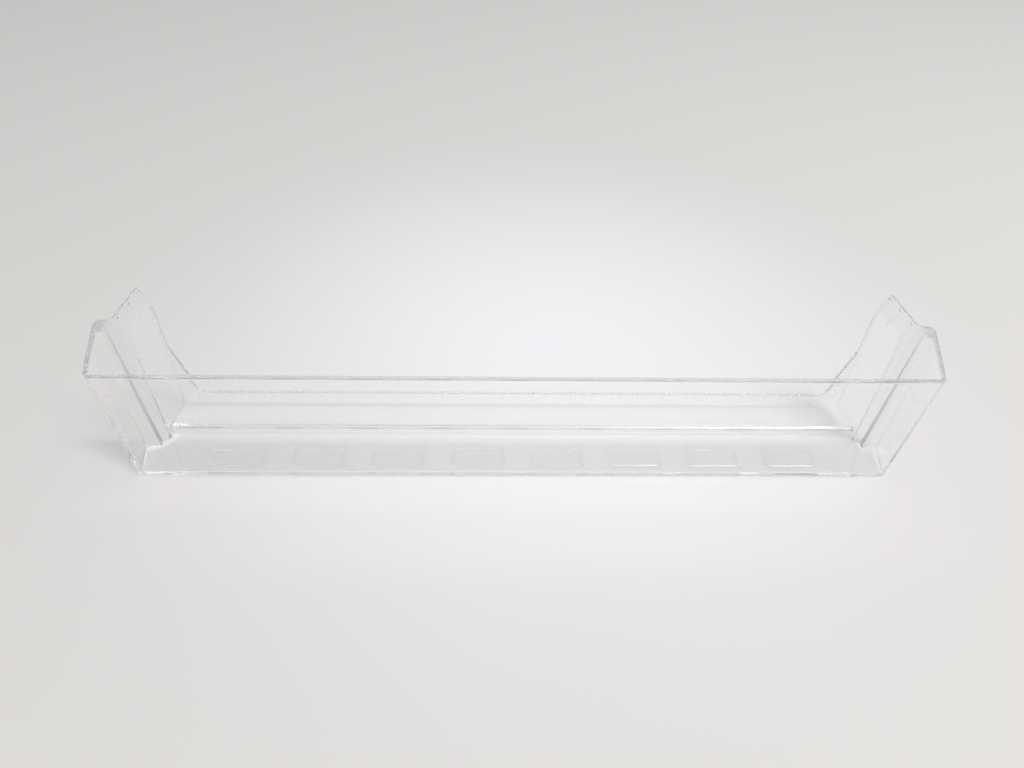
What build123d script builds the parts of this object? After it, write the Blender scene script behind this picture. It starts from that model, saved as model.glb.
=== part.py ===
"""Fridge door shelf: one clear moulding, a wide front bin with a narrower stepped rear part.

X runs along the shelf, -Y is the front wall that faces the user, +Y the open rear that
faces the door, +Z is up. The origin is the bottom centre of the outside box.
"""
import os
from build123d import *

# Overall sizes, mm
LENGTH = 452.0            # outside length, at the front rim
DEPTH = 58.0              # front rim to rear face
FRONT_HEIGHT = 78.0       # underside to the top of the front wall
SIDE_HEIGHT = 92.5        # underside to the top of the side walls
WALL = 2.6                # every wall and the floor

# Lean of the mould walls
FRONT_LEAN = 0.9          # the rim stands this far in front of the foot of the front wall
FRONT_TUCK = 6.9          # the front bottom corners lie this far inside the rim corners
SIDE_LEAN = 0.7           # lean of the side wall at its rear corner
SIDE_TOE_IN = 1.5         # the rear corners of the wide part lie this far inside the rim corners

# Wide front part and the step in to the narrow rear part
WIDE_DEPTH = 29.5         # front rim to the rear corner of the wide part
JOG_RUN = 0.8             # depth over which the side wall steps in
REAR_INSET = 19.0         # the foot of the rear face lies this far inside the rim corners
REAR_TOE_IN = 3.4         # the rear walls close in by this much towards the door
REAR_LEAN = 2.0           # lean of the rear walls up to the flange

# Flared flange along the top of each rear wall
FLANGE_HEIGHT = 10.0
FLANGE_FLARE = 4.7
BEND_RUN = 5.0            # the wall bends into the flange over twice this height
BEND_STEPS = 6

# Corner radii in plan, outside
FRONT_CORNER_R = 4.0
JOG_CORNER_R = 4.4
JOG_INNER_R = 2.0

# Raised rear floor and the lip along its rear edge
STEP_HEIGHT = 5.5
STEP_BEHIND_JOG = 4.1     # riser of the step, behind the narrowed corner
LIP_HEIGHT = 9.0          # above the raised floor
GUSSET_WIDTH = 9.5        # sloped web where the lip runs up into each side wall
GUSSET_HEIGHT = 33.0
GUSSET_R = 8.0            # where the web leaves the lip

# Side walls rise in a straight slope from the front rim to full height
RISE_GAP = 0.6            # the slope starts this far behind the front wall
RISE_TOP_GAP = 1.2        # and ends this far in front of the rear corner
RISE_FOOT_R = 3.0         # rounding at the bottom of the slope
RISE_TOP_R = 3.0          # rounding at the top of the slope

# Shallow pads in the front floor
PAD_COUNT = 8
PAD_PITCH = 47.0
PAD_LENGTH = 33.0
PAD_DEPTH = 20.5
PAD_SETBACK = 17.0        # front rim to the middle of the pads
PAD_SINK = 1.0
PAD_SIDE_SLOPE = 3.0      # width of the sloped border
PAD_FRONT_SLOPE = 3.0
PAD_REAR_SLOPE = 6.0
PAD_CORNER_R = 2.5
PAD_OVERRUN = 0.2         # share of the slope carried past the floor surface

# Post that thickens each rear corner of the wide part, wider towards the floor
POST_TOP_LENGTH = 2.9
POST_FOOT_LENGTH = 10.0
POST_DEPTH = 3.0
POST_DROP = 1.3           # below the rim
POST_BITE = 0.6           # sunk into the side wall

# Webs under the flange
WEB_THICK = 2.0
WEB_DROP = 18.0           # below the top of the flange
WEB_EDGE = 2.0            # upright outer edge
WEB_INSET = 0.5           # outer edge inside the edge of the flange
WEB_SETBACKS = (34.2, 46.5, DEPTH - WEB_THICK / 2)

# Edge rounding
FOOT_R = 1.5              # outside, round the underside
FLOOR_R = 1.2             # inside, where the walls meet the floor
STEP_R = 3.0
RIM_R = 1.0
RIM_DROP = 1.5            # the webs end this far below the rim

# Derived levels and positions
CORNER_HALF = LENGTH / 2 - SIDE_TOE_IN
REAR_HALF = LENGTH / 2 - REAR_INSET
FRONT_Y = -DEPTH / 2
REAR_Y = DEPTH / 2
FOOT_Y = FRONT_Y + FRONT_LEAN
CORNER_Y = FRONT_Y + WIDE_DEPTH
JOG_Y = CORNER_Y + JOG_RUN
STEP_Y = JOG_Y + STEP_BEHIND_JOG
BEND_Z = SIDE_HEIGHT - FLANGE_HEIGHT
REAR_FLOOR_Z = STEP_HEIGHT + WALL
LIP_Z = REAR_FLOOR_Z + LIP_HEIGHT
TOE_SLOPE = REAR_TOE_IN / (REAR_Y - JOG_Y)
WALL_SLOPE = REAR_LEAN / BEND_Z
FLANGE_SLOPE = FLANGE_FLARE / FLANGE_HEIGHT
BEND_LEVELS = [BEND_Z + BEND_RUN * (2 * i / (BEND_STEPS - 1) - 1) for i in range(BEND_STEPS)]
RISE_SLOPE = (SIDE_HEIGHT - FRONT_HEIGHT) / (WIDE_DEPTH - RISE_TOP_GAP - WALL - RISE_GAP)
CLEAR = 1.0               # overrun of cutting shapes past open edges


def rear_half(z, y):
    """Outside half length of the rear part at a height and depth."""
    level = min(z, SIDE_HEIGHT)
    past = level - BEND_Z
    if past <= -BEND_RUN:
        bent = 0
    elif past < BEND_RUN:
        bent = (past + BEND_RUN) ** 2 / (4 * BEND_RUN)
    else:
        bent = past
    lean = WALL_SLOPE * level + (FLANGE_SLOPE - WALL_SLOPE) * bent
    return REAR_HALF + lean + TOE_SLOPE * (REAR_Y - y)


def outline(z, rear_y):
    """Corner points of the outside plan at a height, right half from front to rear."""
    front_x = LENGTH / 2 - FRONT_TUCK * (1 - z / FRONT_HEIGHT)
    front_y = FOOT_Y - FRONT_LEAN * z / FRONT_HEIGHT
    corner_x = CORNER_HALF - SIDE_LEAN * (1 - z / SIDE_HEIGHT)
    return [
        (front_x, front_y),
        (corner_x, CORNER_Y),
        (rear_half(z, JOG_Y), JOG_Y),
        (rear_half(z, rear_y), rear_y),
    ]


def plan_sketch(z, rear_y, inset):
    """Plan of the shelf at a height, pulled in by an inset, with its corners rounded."""
    right = outline(z, rear_y)
    left = [(-x, y) for x, y in reversed(right)]
    with BuildSketch(Plane.XY.offset(z)) as plan:
        with BuildLine():
            Polyline(*right, *left, close=True)
        make_face()
        corners = plan.vertices().group_by(Axis.Y)
        fillet(corners[0], FRONT_CORNER_R)
        fillet(plan.vertices().filter_by(lambda v: abs(v.Y - CORNER_Y) < 0.01), JOG_CORNER_R)
        fillet(plan.vertices().filter_by(lambda v: abs(v.Y - JOG_Y) < 0.01), JOG_INNER_R)
        if inset > 0:
            offset(amount=-inset, kind=Kind.INTERSECTION, mode=Mode.REPLACE)
    return plan.sketch


# Outside form, with the underside cut away below the raised rear floor
with BuildPart() as body:
    loft([plan_sketch(z, REAR_Y, 0) for z in (0, *BEND_LEVELS, SIDE_HEIGHT)], ruled=True)
    with BuildSketch(Plane.XY) as under_plan:
        with Locations((0, STEP_Y + WALL)):
            Rectangle(LENGTH, DEPTH, align=(Align.CENTER, Align.MIN))
    extrude(amount=STEP_HEIGHT, mode=Mode.SUBTRACT)
    fillet(body.faces().sort_by(Axis.Z)[0].edges(), FOOT_R)

# Hollow, open to the rear, standing on the two floor levels
with BuildPart() as hollow:
    hollow_levels = (WALL, *BEND_LEVELS, SIDE_HEIGHT, SIDE_HEIGHT + CLEAR)
    loft([plan_sketch(z, REAR_Y + WALL + CLEAR, WALL) for z in hollow_levels], ruled=True)
    with BuildSketch(Plane.XY) as raised_plan:
        with Locations((0, STEP_Y)):
            Rectangle(LENGTH, DEPTH, align=(Align.CENTER, Align.MIN))
    extrude(amount=REAR_FLOOR_Z, mode=Mode.SUBTRACT)
    fillet(hollow.faces().sort_by(Axis.Z)[0].edges(), FLOOR_R)
    step_edge = hollow.edges().filter_by(Axis.X).filter_by_position(Axis.Y, STEP_Y - 0.01, STEP_Y + 0.01)
    fillet(step_edge.sort_by(Axis.Z)[-1], STEP_R)

# Lip along the rear edge, with a sloped web up each side wall
with BuildPart() as lip:
    with BuildSketch(Plane.XZ.offset(-REAR_Y)) as lip_front:
        inner = REAR_HALF - WALL
        with BuildLine():
            Polyline(
                (-REAR_HALF, STEP_HEIGHT),
                (REAR_HALF, STEP_HEIGHT),
                (REAR_HALF, LIP_Z + GUSSET_HEIGHT),
                (inner, LIP_Z + GUSSET_HEIGHT),
                (inner - GUSSET_WIDTH, LIP_Z),
                (GUSSET_WIDTH - inner, LIP_Z),
                (-inner, LIP_Z + GUSSET_HEIGHT),
                (-REAR_HALF, LIP_Z + GUSSET_HEIGHT),
                close=True,
            )
        make_face()
        fillet(lip_front.vertices().filter_by_position(Axis.Y, LIP_Z - 0.01, LIP_Z + 0.01), GUSSET_R)
    extrude(amount=WALL)
    lip_top = lip.faces().filter_by(Axis.Z).filter_by_position(Axis.Z, LIP_Z - 0.01, LIP_Z + 0.01)
    fillet(lip_top.edges().filter_by(Axis.X), RIM_R)

# One shallow pad, sunk in the floor with sloped borders
with BuildPart() as pad:
    for share in (-1, PAD_OVERRUN):
        with BuildSketch(Plane.XY.offset(WALL + share * PAD_SINK)):
            with Locations((0, share * (PAD_REAR_SLOPE - PAD_FRONT_SLOPE) / 2)):
                RectangleRounded(
                    PAD_LENGTH + share * 2 * PAD_SIDE_SLOPE,
                    PAD_DEPTH + share * (PAD_FRONT_SLOPE + PAD_REAR_SLOPE),
                    PAD_CORNER_R,
                )
    loft(ruled=True)

# Webs that carry the right flange
with BuildPart() as webs:
    for setback in WEB_SETBACKS:
        web_y = FRONT_Y + setback
        low = SIDE_HEIGHT - WEB_DROP
        high = SIDE_HEIGHT - RIM_DROP
        with BuildSketch(Plane.XZ.offset(-web_y - WEB_THICK / 2)):
            with BuildLine():
                Polyline(
                    (rear_half(low, web_y) - WALL / 2, low),
                    (rear_half(high, web_y) - WEB_INSET, high - WEB_EDGE),
                    (rear_half(high, web_y) - WEB_INSET, high),
                    (rear_half(high, web_y) - WALL / 2, high),
                    (rear_half(BEND_Z, web_y) - WALL / 2, BEND_Z),
                    close=True,
                )
            make_face()
        extrude(amount=WEB_THICK)

# Post in the right rear corner, its top in line with the sloped rim
with BuildPart() as post:
    post_x = CORNER_HALF - WALL
    post_rear = CORNER_Y - WALL / 2
    post_front = CORNER_Y - WALL - POST_DEPTH
    post_top = SIDE_HEIGHT - POST_DROP
    with BuildSketch(Plane.YZ.offset(post_x + POST_BITE)):
        with BuildLine():
            Polyline(
                (post_rear, post_top),
                (post_front, post_top - RISE_SLOPE * (post_rear - post_front)),
                (post_front, WALL / 2),
                (post_rear, WALL / 2),
                close=True,
            )
        make_face()
    extrude(amount=-POST_FOOT_LENGTH - POST_BITE)
    with BuildSketch(Plane.XZ.offset(-post_rear)):
        with BuildLine():
            Polyline(
                (post_x + POST_BITE, post_top),
                (post_x - POST_TOP_LENGTH, post_top),
                (post_x - POST_FOOT_LENGTH, WALL / 2),
                (post_x + POST_BITE, WALL / 2),
                close=True,
            )
        make_face()
    extrude(amount=post_rear - post_front, mode=Mode.INTERSECT)

# The shelf
with BuildPart() as door_shelf:
    add(body.part)
    add(webs.part)
    add(webs.part.mirror(Plane.YZ))
    add(hollow.part, mode=Mode.SUBTRACT)
    add(lip.part.intersect(body.part))
    with Locations((0, FRONT_Y + PAD_SETBACK)):
        with GridLocations(PAD_PITCH, 0, PAD_COUNT, 1):
            add(pad.part, mode=Mode.SUBTRACT)
    with BuildSketch(Plane.YZ) as rise_profile:
        rise_from = (FRONT_Y + WALL + RISE_GAP, FRONT_HEIGHT)
        rise_to = (CORNER_Y - RISE_TOP_GAP, SIDE_HEIGHT)
        with BuildLine():
            Polyline(
                (FRONT_Y - CLEAR, FRONT_HEIGHT),
                rise_from,
                rise_to,
                (JOG_Y, SIDE_HEIGHT),
                (JOG_Y, SIDE_HEIGHT + CLEAR),
                (FRONT_Y - CLEAR, SIDE_HEIGHT + CLEAR),
                close=True,
            )
        make_face()
        fillet(rise_profile.vertices().sort_by(Axis.X)[2], RISE_FOOT_R)
        fillet(rise_profile.vertices().sort_by(Axis.X)[-3], RISE_TOP_R)
    extrude(amount=LENGTH, both=True, mode=Mode.SUBTRACT)
    rim = door_shelf.faces().filter_by(Axis.Z).filter_by_position(
        Axis.Z, FRONT_HEIGHT - 0.01, FRONT_HEIGHT + 0.01
    )
    fillet(rim.edges().sort_by(SortBy.LENGTH)[-2:], RIM_R)
    add(post.part)
    add(post.part.mirror(Plane.YZ))

door_shelf.part.label = "door_shelf"
os.makedirs("parts", exist_ok=True)
export_step(door_shelf.part, "parts/door_shelf.step")
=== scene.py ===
"""Looks of a clear moulded fridge door shelf, standing on a pale table under a tube light.

Everything is in metres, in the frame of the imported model: X along the shelf, -Y its front, +Z up.
"""

import logging
import math
from dataclasses import dataclass, field
from enum import Enum
from typing import Sequence, Union

import bmesh
import bpy
from mathutils import Matrix, Vector

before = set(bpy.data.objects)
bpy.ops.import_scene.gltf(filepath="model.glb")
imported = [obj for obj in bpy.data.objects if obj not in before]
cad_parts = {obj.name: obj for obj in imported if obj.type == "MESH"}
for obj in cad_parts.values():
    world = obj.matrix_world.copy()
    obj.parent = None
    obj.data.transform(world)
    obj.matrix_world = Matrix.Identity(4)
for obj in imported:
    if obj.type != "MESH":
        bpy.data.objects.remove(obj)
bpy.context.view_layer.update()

LOG = logging.getLogger("door_shelf")
MM = 0.001

Colour = tuple[float, float, float]
Place = tuple[float, float, float]
Range = tuple[float, float]
Socket = bpy.types.NodeSocket
Number = Union[Socket, float]
Value = Union[Socket, float, Sequence[float]]

BACKDROP: Colour = (0.68, 0.68, 0.68)
BEYOND = 1.0
EVERYWHERE: Range = (-BEYOND, BEYOND)
HALF_A_BOUNCE = 0.5


def opaque(colour: Colour) -> tuple[float, float, float, float]:
    """A colour with full alpha, as the nodes take it."""
    return (*colour, 1.0)


class MathStep(Enum):
    """Steps of node arithmetic that the finishes use."""

    ADD = "ADD"
    SUBTRACT = "SUBTRACT"
    MULTIPLY = "MULTIPLY"
    ABSOLUTE = "ABSOLUTE"
    WRAP = "WRAP"
    MINIMUM = "MINIMUM"
    POWER = "POWER"
    LESS_THAN = "LESS_THAN"


class Change(Enum):
    """How one range turns into another."""

    SOFT = "SMOOTHSTEP"
    STRAIGHT = "LINEAR"


class SheetEnd(Enum):
    """Output node of a node tree."""

    MATERIAL = "ShaderNodeOutputMaterial"
    WORLD = "ShaderNodeOutputWorld"


class LampTask(Enum):
    """What a lamp does: it lights surfaces, and may be mirrored in polished ones."""

    LIGHT = "light"
    LIGHT_AND_GLEAM = "light and gleam"


class NodeSheet:
    """The node tree of a material or a world, with short ways to add and join nodes."""

    def __init__(self, owner: Union[bpy.types.Material, bpy.types.World], end: SheetEnd) -> None:
        """Empties the tree and gives it an output.

        Args:
            owner: the new material or world.
            end: its kind of output.
        """
        owner.use_nodes = True
        self.tree = owner.node_tree
        self.tree.nodes.clear()
        self.output = self.tree.nodes.new(end.value)

    def add(self, kind: str, **inputs: Value) -> bpy.types.Node:
        """Adds a node and fills its inputs.

        Args:
            kind: the node's type name.
            **inputs: values or sockets by input name, with _ for a space.

        Returns:
            The new node.
        """
        node = self.tree.nodes.new(kind)
        for key, value in inputs.items():
            self.feed(node.inputs[key.replace("_", " ")], value)
        return node

    def feed(self, socket: Socket, value: Value) -> None:
        """Sets an input to a value, or joins it to another node's output.

        Args:
            socket: the input.
            value: a number, a colour, a vector or an output socket.
        """
        if isinstance(value, bpy.types.NodeSocket):
            self.tree.links.new(value, socket)
        else:
            socket.default_value = value

    def calc(self, step: MathStep, *values: Number) -> Socket:
        """One step of arithmetic.

        Args:
            step: what is done.
            *values: one to three numbers or sockets.

        Returns:
            The result's socket.
        """
        node = self.tree.nodes.new("ShaderNodeMath")
        node.operation = step.value
        for socket, value in zip(node.inputs, values):
            self.feed(socket, value)
        return node.outputs[0]

    def chain(self, step: MathStep, *values: Number) -> Socket:
        """The same step of arithmetic over several values, one after another.

        Args:
            step: what is done.
            *values: two or more numbers or sockets.

        Returns:
            The result's socket.
        """
        total = values[0]
        for value in values[1:]:
            total = self.calc(step, total, value)
        return total

    def axes(self, place: Socket) -> tuple[Socket, Socket, Socket]:
        """The three coordinates of a place."""
        return tuple(self.add("ShaderNodeSeparateXYZ", Vector=place).outputs)

    def distance(self, place: Socket, point: Place) -> Socket:
        """How far a place is from a point.

        Args:
            place: Object coordinates.
            point: the point.

        Returns:
            The distance's socket.
        """
        node = self.tree.nodes.new("ShaderNodeVectorMath")
        node.operation = "DISTANCE"
        self.feed(node.inputs[0], place)
        self.feed(node.inputs[1], point)
        return node.outputs["Value"]

    def cloud(self, place: Socket, scale: float, detail: float) -> bpy.types.Node:
        """A noise pattern.

        Args:
            place: Object coordinates.
            scale: how fine it is.
            detail: how many finer layers it has.

        Returns:
            The pattern's node.
        """
        return self.add("ShaderNodeTexNoise", Vector=place, Scale=scale, Detail=detail)

    def blend(self, share: Number, first: Value, second: Value) -> Socket:
        """A mix of two colours.

        Args:
            share: share of the second colour.
            first: colour at a share of 0.
            second: colour at a share of 1.

        Returns:
            The mixed colour's socket.
        """
        node = self.tree.nodes.new("ShaderNodeMix")
        node.data_type = "RGBA"
        sockets = {socket.identifier: socket for socket in node.inputs}
        self.feed(sockets["Factor_Float"], share)
        self.feed(sockets["A_Color"], first)
        self.feed(sockets["B_Color"], second)
        return next(socket for socket in node.outputs if socket.identifier == "Result_Color")

    def join(self, share: Number, first: bpy.types.Node, second: bpy.types.Node) -> Socket:
        """A mix of two shaders.

        Args:
            share: share of the second shader.
            first: shader at a share of 0.
            second: shader at a share of 1.

        Returns:
            The mixed shader's socket.
        """
        mix = self.add("ShaderNodeMixShader", Fac=share)
        self.feed(mix.inputs[1], first.outputs[0])
        self.feed(mix.inputs[2], second.outputs[0])
        return mix.outputs[0]

    def ramp(self, value: Number, start: Range, result: Range, change: Change = Change.SOFT) -> Socket:
        """A change of one range into another.

        Args:
            value: the number that is read.
            start: its range.
            result: the results at the two ends of that range.
            change: how the result goes from one end to the other.

        Returns:
            The result's socket.
        """
        node = self.tree.nodes.new("ShaderNodeMapRange")
        node.interpolation_type = change.value
        for socket, number in zip(node.inputs, (value, *start, *result)):
            self.feed(socket, number)
        return node.outputs[0]

    def rise(self, value: Number, low: float, high: float) -> Socket:
        """A number that goes softly from 0 to 1 over a range."""
        return self.ramp(value, (low, high), (0.0, 1.0))

    def fall(self, value: Number, low: float, high: float) -> Socket:
        """A number that goes softly from 1 to 0 over a range."""
        return self.ramp(value, (low, high), (1.0, 0.0))

    def within(self, value: Number, span: Range, soft: float) -> Socket:
        """A number that is 1 inside a range and fades to 0 outside it.

        Args:
            value: the number that is read.
            span: the range.
            soft: width of the fade, outside the range.

        Returns:
            The result's socket.
        """
        low, high = span
        up = self.rise(value, low - soft, low)
        down = self.fall(value, high, high + soft)
        return self.calc(MathStep.MINIMUM, up, down)

    def before_matt(self) -> Socket:
        """A number that is 1 for a ray that has met no matt surface yet, and else 0."""
        met = self.add("ShaderNodeLightPath").outputs["Diffuse Depth"]
        return self.calc(MathStep.LESS_THAN, met, HALF_A_BOUNCE)


@dataclass(frozen=True)
class Crease:
    """A fold line with a steep flat front and a gentle slope behind."""

    front: float
    top: float
    rear: float
    rise: float

    def height(self, sheet: NodeSheet, y: Socket) -> Socket:
        """Height of the fold.

        Args:
            sheet: the material that reads it.
            y: place from front to rear.

        Returns:
            The height's socket, in metres.
        """
        up = sheet.ramp(y, (self.front, self.top), (0.0, self.rise), Change.STRAIGHT)
        down = sheet.ramp(y, (self.top, self.rear), (0.0, -self.rise))
        return sheet.calc(MathStep.ADD, up, down)


@dataclass(frozen=True)
class Bevel:
    """A flat that takes the place of a rounding along an edge."""

    centre: float
    half: float
    curve: float

    def height(self, sheet: NodeSheet, y: Socket) -> Socket:
        """How far the flat lies below the rounding.

        Args:
            sheet: the material that reads it.
            y: place from front to rear.

        Returns:
            The height's socket, in metres.
        """
        off = sheet.calc(MathStep.SUBTRACT, y, self.centre)
        square = sheet.calc(MathStep.MINIMUM, sheet.calc(MathStep.MULTIPLY, off, off), self.half**2)
        return sheet.calc(MathStep.MULTIPLY, sheet.calc(MathStep.SUBTRACT, square, self.half**2), 1.0 / self.curve)


@dataclass(frozen=True)
class SatinZone:
    """A region of the moulding, the same on its left and right half, with a satin surface."""

    out: Range
    deep: Range
    high: Range
    soft: float
    roughness: float

    def mask(self, sheet: NodeSheet, place: Socket) -> Socket:
        """A number that is 1 in the region and 0 elsewhere.

        Args:
            sheet: the material that reads it.
            place: Object coordinates.

        Returns:
            The mask's socket.
        """
        x, y, z = sheet.axes(place)
        across = sheet.within(sheet.calc(MathStep.ABSOLUTE, x), self.out, self.soft)
        depth = sheet.within(y, self.deep, self.soft)
        level = sheet.within(z, self.high, self.soft)
        return sheet.chain(MathStep.MINIMUM, across, depth, level)


@dataclass(frozen=True)
class SatinRim:
    """The satin top edge of the walls: level along the front, sloping up along the sides."""

    slope: Range = (-25.8 * MM, -0.7 * MM)
    top: Range = (78.0 * MM, 92.5 * MM)
    side: float = 220.0 * MM
    depth: float = 1.2 * MM
    soft: float = 0.4 * MM
    roughness: float = 0.2

    def mask(self, sheet: NodeSheet, place: Socket) -> Socket:
        """A number that is 1 on the rim and 0 below it.

        Args:
            sheet: the material that reads it.
            place: Object coordinates.

        Returns:
            The mask's socket.
        """
        _, y, z = sheet.axes(place)
        top = sheet.ramp(y, self.slope, self.top, Change.STRAIGHT)
        below = sheet.calc(MathStep.SUBTRACT, top, z)
        return sheet.fall(below, self.depth, self.depth + self.soft)

    def side_mask(self, sheet: NodeSheet, place: Socket) -> Socket:
        """A number that is 1 on the sloping rim of the side panels and 0 elsewhere.

        Args:
            sheet: the material that reads it.
            place: Object coordinates.

        Returns:
            The mask's socket.
        """
        x, y, _ = sheet.axes(place)
        out = sheet.rise(sheet.calc(MathStep.ABSOLUTE, x), self.side - self.soft, self.side)
        front = sheet.within(y, self.slope, self.soft)
        return sheet.chain(MathStep.MINIMUM, self.mask(sheet, place), out, front)


@dataclass(frozen=True)
class PadRow:
    """Where the satin pads of the front floor lie, and the creases at the foot of their borders."""

    count: int = 8
    pitch: float = 47.0 * MM
    length: float = 33.0 * MM
    depth: float = 20.5 * MM
    centre_y: float = -12.0 * MM
    level: Range = (1.2 * MM, 2.5 * MM)
    edge: float = 1.2 * MM
    level_soft: float = 0.3 * MM
    fold_soft: float = 0.6 * MM
    crease_half: float = 15.5 * MM
    front_crease: Crease = Crease(front=-19.4 * MM, top=-18.2 * MM, rear=-8.0 * MM, rise=0.707 * MM)
    rear_crease: Crease = Crease(front=-7.5 * MM, top=-6.7 * MM, rear=-2.0 * MM, rise=0.471 * MM)
    crease_polish: float = 0.5

    @property
    def reach(self) -> float:
        """Half the length of the row."""
        return self.count * self.pitch / 2

    def along(self, sheet: NodeSheet, x: Socket) -> Socket:
        """Distance from the middle of the nearest pad, along the row.

        Args:
            sheet: the material that reads it.
            x: place along the shelf.

        Returns:
            The distance's socket.
        """
        half = self.pitch / 2
        moved = sheet.calc(MathStep.SUBTRACT, x, half)
        return sheet.calc(MathStep.ABSOLUTE, sheet.calc(MathStep.WRAP, moved, half, -half))

    def creases(self, sheet: NodeSheet, place: Socket) -> Socket:
        """Height of the creases along the front and rear borders of the pads.

        Args:
            sheet: the material that reads it.
            place: Object coordinates.

        Returns:
            The height's socket, in metres.
        """
        x, y, z = sheet.axes(place)
        height = sheet.calc(MathStep.ADD, self.front_crease.height(sheet, y), self.rear_crease.height(sheet, y))
        ends = sheet.within(self.along(sheet, x), (-self.crease_half, self.crease_half), self.edge)
        row = sheet.within(x, (-self.reach, self.reach), self.edge)
        level = sheet.within(z, self.level, self.level_soft)
        return sheet.calc(MathStep.MULTIPLY, height, sheet.chain(MathStep.MINIMUM, ends, row, level))

    def mask(self, sheet: NodeSheet, place: Socket) -> Socket:
        """A number that is 1 on the pads and 0 elsewhere.

        Args:
            sheet: the material that reads it.
            place: Object coordinates.

        Returns:
            The mask's socket.
        """
        x, y, z = sheet.axes(place)
        across = sheet.calc(MathStep.ABSOLUTE, sheet.calc(MathStep.SUBTRACT, y, self.centre_y))
        inside = [
            sheet.fall(self.along(sheet, x), self.length / 2 - self.edge, self.length / 2),
            sheet.fall(across, self.depth / 2 - self.edge, self.depth / 2),
            sheet.fall(sheet.calc(MathStep.ABSOLUTE, x), self.reach - self.edge, self.reach),
            sheet.within(z, self.level, self.level_soft),
        ]
        for crease in (self.front_crease, self.rear_crease):
            fold = sheet.within(y, (crease.front, crease.top), self.fold_soft)
            inside.append(sheet.calc(MathStep.SUBTRACT, 1.0, sheet.calc(MathStep.MULTIPLY, fold, self.crease_polish)))
        return sheet.chain(MathStep.MINIMUM, *inside)


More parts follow.
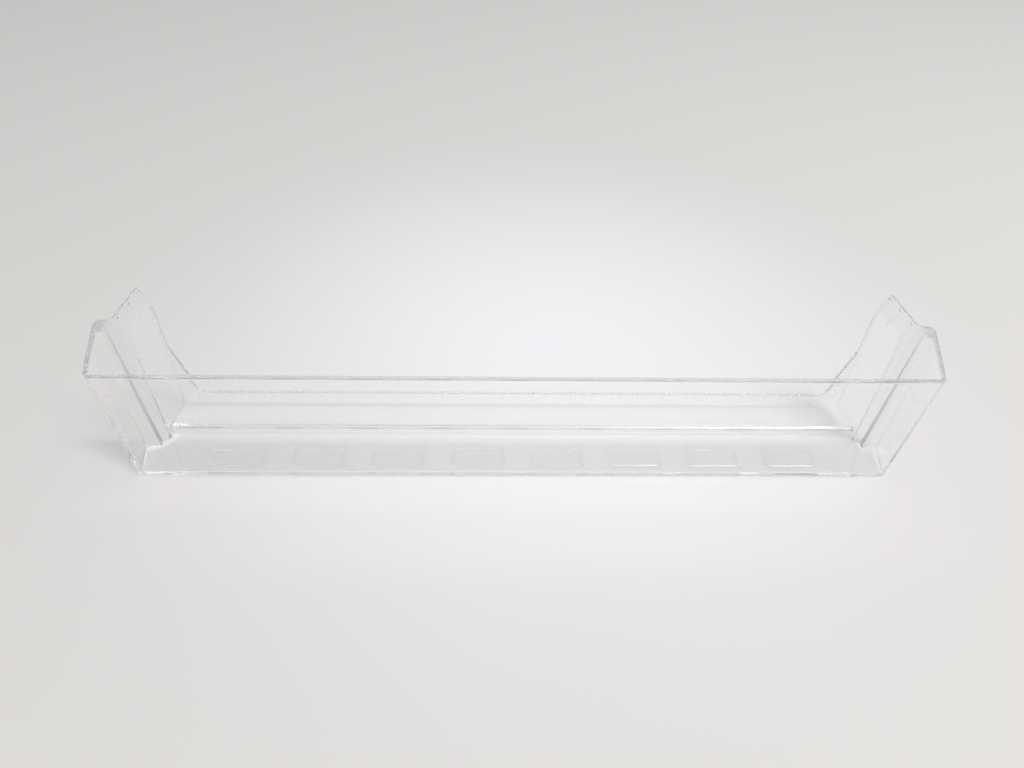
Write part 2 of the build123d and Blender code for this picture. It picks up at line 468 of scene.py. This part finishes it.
@dataclass(frozen=True)
class ClearPlastic:
    """Clear styrene plastic, polished, with satin pads and edges, faint mould waves and handling haze."""

    name: str = "clear_styrene"
    tint: Colour = (0.995, 0.995, 0.995)
    # painted shade: the pads are greyed to stand in for light that their satin surface scatters away
    pad_painted_shade: Colour = (0.93, 0.93, 0.935)
    # painted shade: the sloping side rims are greyed to stand in for the light their thick edges bend away
    rim_painted_shade: Colour = (0.74, 0.74, 0.75)
    ior: float = 1.57
    gloss: float = 0.02
    haze: float = 0.06
    pad_roughness: float = 0.22
    body_colour: Colour = (0.70, 0.70, 0.72)
    body_density: float = 4.0
    shadow_power: float = 1.3
    wave_scale: float = 55.0
    wave_height: float = 0.012 * MM
    wave_detail: float = 1.0
    haze_scale: float = 140.0
    haze_detail: float = 4.0
    haze_grit: float = 0.6
    haze_span: Range = (0.45, 0.8)
    grain_scale: float = 1400.0
    grain_height: float = 0.02 * MM
    pads: PadRow = PadRow()
    rim: SatinRim = SatinRim()
    step_bevel: Bevel = Bevel(centre=6.81 * MM, half=1.5 * MM, curve=4.3 * MM)
    step_edge: SatinZone = SatinZone(
        out=EVERYWHERE, deep=(5.0 * MM, 9.0 * MM), high=(4.5 * MM, 8.4 * MM), soft=0.6 * MM, roughness=0.22
    )
    rear_edge: SatinZone = SatinZone(
        out=EVERYWHERE, deep=(26.9 * MM, BEYOND), high=(10.0 * MM, BEYOND), soft=0.5 * MM, roughness=0.25
    )
    corner_post: SatinZone = SatinZone(
        out=(209.5 * MM, BEYOND), deep=(-5.6 * MM, 3.0 * MM), high=(4.0 * MM, BEYOND), soft=0.5 * MM, roughness=0.32
    )

    def material(self) -> bpy.types.Material:
        """Makes the material.

        Returns:
            The new material.
        """
        material = bpy.data.materials.new(self.name)
        sheet = NodeSheet(material, SheetEnd.MATERIAL)
        place = sheet.add("ShaderNodeTexCoord").outputs["Object"]
        pad = self.pads.mask(sheet, place)
        grain = self.step_edge.mask(sheet, place)
        plastic = sheet.add(
            "ShaderNodeBsdfPrincipled",
            IOR=self.ior,
            Transmission_Weight=1.0,
            Base_Color=self.colour(sheet, pad, self.rim.side_mask(sheet, place)),
            Roughness=self.roughness(sheet, place, pad, grain),
            Normal=self.relief(sheet, place, grain),
        )
        lamp_light = sheet.add("ShaderNodeBsdfTransparent", Color=self.shadow(sheet))
        is_lamp_ray = sheet.add("ShaderNodeLightPath").outputs["Is Shadow Ray"]
        body = sheet.add("ShaderNodeVolumeAbsorption", Color=opaque(self.body_colour), Density=self.body_density)
        sheet.feed(sheet.output.inputs["Surface"], sheet.join(is_lamp_ray, plastic, lamp_light))
        sheet.feed(sheet.output.inputs["Volume"], body.outputs[0])
        return material

    def colour(self, sheet: NodeSheet, pad: Socket, side_rim: Socket) -> Socket:
        """The tint of the surface, with painted shade: greyer on the satin pads and the sloping side rims, standing
        in for light that the plastic scatters or bends away there.

        Args:
            sheet: the material.
            pad: mask of the pads.
            side_rim: mask of the side rims.

        Returns:
            The colour's socket.
        """
        # painted shade on the pads
        floor = sheet.blend(pad, opaque(self.tint), opaque(self.pad_painted_shade))
        # painted shade on the side rims
        return sheet.blend(side_rim, floor, opaque(self.rim_painted_shade))

    def roughness(self, sheet: NodeSheet, place: Socket, pad: Socket, grain: Socket) -> Socket:
        """Polish with a cloudy handling haze, and satin on the pads, edges and posts.

        Args:
            sheet: the material.
            place: Object coordinates.
            pad: mask of the pads.
            grain: mask of the grained edge.

        Returns:
            The roughness socket.
        """
        cloud = sheet.cloud(place, self.haze_scale, self.haze_detail)
        sheet.feed(cloud.inputs["Roughness"], self.haze_grit)
        polish = sheet.ramp(cloud.outputs["Fac"], self.haze_span, (self.gloss, self.haze))
        satin = sheet.calc(MathStep.MULTIPLY, pad, self.pad_roughness)
        matt = sheet.calc(MathStep.MULTIPLY, grain, self.step_edge.roughness)
        dull = [
            sheet.calc(MathStep.MULTIPLY, zone.mask(sheet, place), zone.roughness)
            for zone in (self.rear_edge, self.corner_post, self.rim)
        ]
        return sheet.chain(MathStep.ADD, polish, satin, matt, *dull)

    def relief(self, sheet: NodeSheet, place: Socket, grain: Socket) -> Socket:
        """Faint waves left by the mould, the creases of the pads and the grain of the step, as a bump.

        Args:
            sheet: the material.
            place: Object coordinates.
            grain: mask of the grained edge.

        Returns:
            The normal's socket.
        """
        swell = sheet.cloud(place, self.wave_scale, self.wave_detail)
        wave = sheet.calc(MathStep.MULTIPLY, swell.outputs["Fac"], self.wave_height)
        speck = sheet.cloud(place, self.grain_scale, self.wave_detail)
        rough = sheet.calc(MathStep.MULTIPLY, speck.outputs["Fac"], self.grain_height)
        _, y, _ = sheet.axes(place)
        step = sheet.calc(MathStep.ADD, rough, self.step_bevel.height(sheet, y))
        edge = sheet.calc(MathStep.MULTIPLY, step, grain)
        height = sheet.chain(MathStep.ADD, wave, edge, self.pads.creases(sheet, place))
        return sheet.add("ShaderNodeBump", Strength=1.0, Distance=1.0, Height=height).outputs[0]

    def shadow(self, sheet: NodeSheet) -> Socket:
        """What the plastic lets through of a lamp's light: less where the light grazes a wall it enters.

        Args:
            sheet: the material.

        Returns:
            The share's socket.
        """
        mirror = sheet.add("ShaderNodeFresnel", IOR=self.ior).outputs[0]
        leaving = sheet.add("ShaderNodeNewGeometry").outputs["Backfacing"]
        entering = sheet.calc(MathStep.SUBTRACT, 1.0, leaving)
        left = sheet.calc(MathStep.SUBTRACT, 1.0, sheet.calc(MathStep.MULTIPLY, mirror, entering))
        return sheet.calc(MathStep.POWER, left, self.shadow_power)


@dataclass(frozen=True)
class PaleTable:
    """Matt off-white table top that runs out into the pale backdrop, with a painted pool of light around the shelf, a
    painted glow in front of it and painted shade farther off.
    """

    name: str = "pale_table"
    # painted light: the table's colour inside the pool of light painted around the shelf
    light: Colour = (0.88, 0.86, 0.89)
    # painted glow: a paler band in front of the shelf's foot, standing in for light that the front wall throws
    # forward
    painted_glow: Colour = (0.955, 0.93, 0.97)
    # painted shade: the colour the table greys to farther off, standing in for the lamps' falloff
    shade: Colour = (0.71, 0.695, 0.68)
    backdrop: Colour = BACKDROP
    centre: Place = (0.02, 0.097, 0.0)
    reach: float = 0.37
    painted_glow_across: Range = (-0.20, 0.25)
    painted_glow_deep: Range = (-0.075, -0.045)
    painted_glow_soft: float = 0.035
    far: Range = (1.0, 2.6)
    uneven: float = 0.05
    cloud_scale: float = 3.0
    cloud_detail: float = 2.0
    roughness: float = 0.7
    mirror: float = 0.0

    def material(self) -> bpy.types.Material:
        """Makes the material.

        Returns:
            The new material.
        """
        material = bpy.data.materials.new(self.name)
        sheet = NodeSheet(material, SheetEnd.MATERIAL)
        place = sheet.add("ShaderNodeTexCoord").outputs["Object"]
        away = sheet.distance(place, self.centre)
        top = sheet.add(
            "ShaderNodeBsdfPrincipled",
            Base_Color=self.tone(sheet, place, away),
            Roughness=self.roughness,
            Specular_IOR_Level=self.mirror,
        )
        distant = sheet.calc(MathStep.MULTIPLY, sheet.rise(away, *self.far), sheet.before_matt())
        backdrop = sheet.add("ShaderNodeEmission", Color=opaque(self.backdrop))
        sheet.feed(sheet.output.inputs["Surface"], sheet.join(distant, top, backdrop))
        return material

    def tone(self, sheet: NodeSheet, place: Socket, away: Socket) -> Socket:
        """The colour of the table: a painted pool of light around the shelf, a painted glow in front of it, and
        painted shade farther off.

        Args:
            sheet: the material.
            place: Object coordinates.
            away: distance from the pale centre.

        Returns:
            The colour's socket.
        """
        cloud = sheet.cloud(place, self.cloud_scale, self.cloud_detail)
        drift = sheet.calc(MathStep.MULTIPLY, cloud.outputs["Fac"], self.uneven)
        # painted shade: greyer with distance from the centre, in place of the lamps' falloff
        fade = sheet.rise(sheet.calc(MathStep.ADD, away, drift), 0.0, self.reach)
        x, y, _ = sheet.axes(place)
        # painted glow: the band in front of the shelf's foot
        across = sheet.within(x, self.painted_glow_across, self.painted_glow_soft)
        deep = sheet.within(y, self.painted_glow_deep, self.painted_glow_soft)
        with_painted_glow = sheet.blend(sheet.calc(MathStep.MULTIPLY, across, deep), opaque(self.light), opaque(self.painted_glow))
        return sheet.blend(fade, with_painted_glow, opaque(self.shade))


@dataclass
class DoorShelf:
    """The shelf: one clear moulding."""

    node: str = "door_shelf"
    finish: ClearPlastic = field(default_factory=ClearPlastic)

    def dress(self) -> None:
        """Gives the moulding its clear plastic."""
        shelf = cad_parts[self.node]
        material = self.finish.material()
        for slot in shelf.material_slots:
            slot.material = material
        LOG.info("%s: %d faces in %s", self.node, len(shelf.data.polygons), material.name)


@dataclass
class Table:
    """The table top that the shelf stands on."""

    half: float = 8.0
    segments: int = 4
    gap: float = 0.3 * MM
    finish: PaleTable = field(default_factory=PaleTable)

    def build(self) -> bpy.types.Object:
        """Makes the table top.

        Returns:
            The table's object.
        """
        mesh = bpy.data.meshes.new("table_top")
        shape = bmesh.new()
        bmesh.ops.create_grid(shape, x_segments=self.segments, y_segments=self.segments, size=self.half)
        bmesh.ops.translate(shape, verts=shape.verts, vec=(0.0, 0.0, -self.gap))
        shape.to_mesh(mesh)
        shape.free()
        table = bpy.data.objects.new("table_top", mesh)
        bpy.context.scene.collection.objects.link(table)
        table.data.materials.append(self.finish.material())
        LOG.info("table top: %.1f m wide", 2 * self.half)
        return table


@dataclass(frozen=True)
class Lamp:
    """A flat soft light, aimed at a point."""

    name: str
    place: Place
    watts: float
    task: LampTask
    aim: Place = (0.0, 0.0, 0.0)
    length: float = 1.34
    width: float = 0.24

    def build(self) -> bpy.types.Object:
        """Makes the lamp. Clear walls pass its light straight on and don't gather it.

        Returns:
            The lamp's object.
        """
        data = bpy.data.lights.new(self.name, "AREA")
        data.shape = "RECTANGLE"
        data.size = self.length
        data.size_y = self.width
        data.energy = self.watts
        lamp = bpy.data.objects.new(self.name, data)
        bpy.context.scene.collection.objects.link(lamp)
        away = (Vector(self.place) - Vector(self.aim)).normalized()
        across = away.cross(Vector((1.0, 0.0, 0.0))).normalized()
        along = across.cross(away)
        turn = Matrix((along, across, away)).transposed()
        lamp.matrix_world = Matrix.Translation(self.place) @ turn.to_4x4()
        lamp.visible_transmission = False
        lamp.visible_glossy = self.task is LampTask.LIGHT_AND_GLEAM
        LOG.info("%s: %.1f W", self.name, self.watts)
        return lamp


@dataclass
class Studio:
    """Plain soft light: an even surround with a pale backdrop, and a tube to the front right.

    The tube is two lamps close together. Only the weaker one is mirrored, so that no polished edge burns out.
    """

    surround: Colour = (0.45, 0.45, 0.45)
    backdrop: Colour = BACKDROP
    tube: Lamp = Lamp("tube_light", (1.20, -1.00, 2.80), 52.0, LampTask.LIGHT)
    gleam: Lamp = Lamp("tube_gleam", (1.17, -0.975, 2.73), 18.0, LampTask.LIGHT_AND_GLEAM)
    bounces: int = 48

    def build(self) -> None:
        """Makes the surround and the lamps, and lets light go on through the clear walls."""
        world = bpy.data.worlds.new("surround")
        sheet = NodeSheet(world, SheetEnd.WORLD)
        light = sheet.blend(sheet.before_matt(), opaque(self.surround), opaque(self.backdrop))
        background = sheet.add("ShaderNodeBackground", Color=light)
        sheet.feed(sheet.output.inputs["Surface"], background.outputs[0])
        world.cycles.sampling_method = "NONE"
        bpy.context.scene.world = world
        LOG.info("surround: %.2f, backdrop: %.2f", self.surround[0], self.backdrop[0])
        self.tube.build()
        self.gleam.build()
        paths = bpy.context.scene.cycles
        paths.max_bounces = paths.transmission_bounces = paths.glossy_bounces = self.bounces
        paths.blur_glossy = 0.0


@dataclass
class PhotoCamera:
    """The photograph's camera."""

    place: Place = (-18.76 * MM, -325.51 * MM, 349.45 * MM)
    pitch: float = 42.724
    yaw: float = 2.600
    roll: float = 2.088
    focal_px: float = 776.96
    width_px: int = 1024
    sensor: float = 36.0
    near: float = 10.0 * MM

    def build(self) -> bpy.types.Object:
        """Makes the camera and puts it in use.

        Returns:
            The camera's object.
        """
        data = bpy.data.cameras.new("photo_camera")
        data.sensor_fit = "HORIZONTAL"
        data.sensor_width = self.sensor
        data.lens = self.focal_px * self.sensor / self.width_px
        data.clip_start = self.near
        camera = bpy.data.objects.new("photo_camera", data)
        bpy.context.scene.collection.objects.link(camera)
        pitch, yaw, roll = (math.radians(angle) for angle in (self.pitch, self.yaw, self.roll))
        ahead = Vector((math.sin(yaw) * math.cos(pitch), math.cos(yaw) * math.cos(pitch), -math.sin(pitch)))
        level = Vector((math.cos(yaw), -math.sin(yaw), 0.0))
        upright = level.cross(ahead)
        right = math.cos(roll) * level + math.sin(roll) * upright
        above = math.cos(roll) * upright - math.sin(roll) * level
        turn = Matrix((right, above, -ahead)).transposed()
        camera.matrix_world = Matrix.Translation(self.place) @ turn.to_4x4()
        bpy.context.scene.camera = camera
        LOG.info("camera: %.2f mm lens", data.lens)
        return camera


def main() -> None:
    """Builds and dresses everything in order."""
    logging.basicConfig(level=logging.INFO, format="%(name)s: %(message)s")
    bpy.context.scene.view_settings.view_transform = "Standard"
    DoorShelf().dress()
    Table().build()
    Studio().build()
    PhotoCamera().build()


if __name__ == "__main__":
    main()
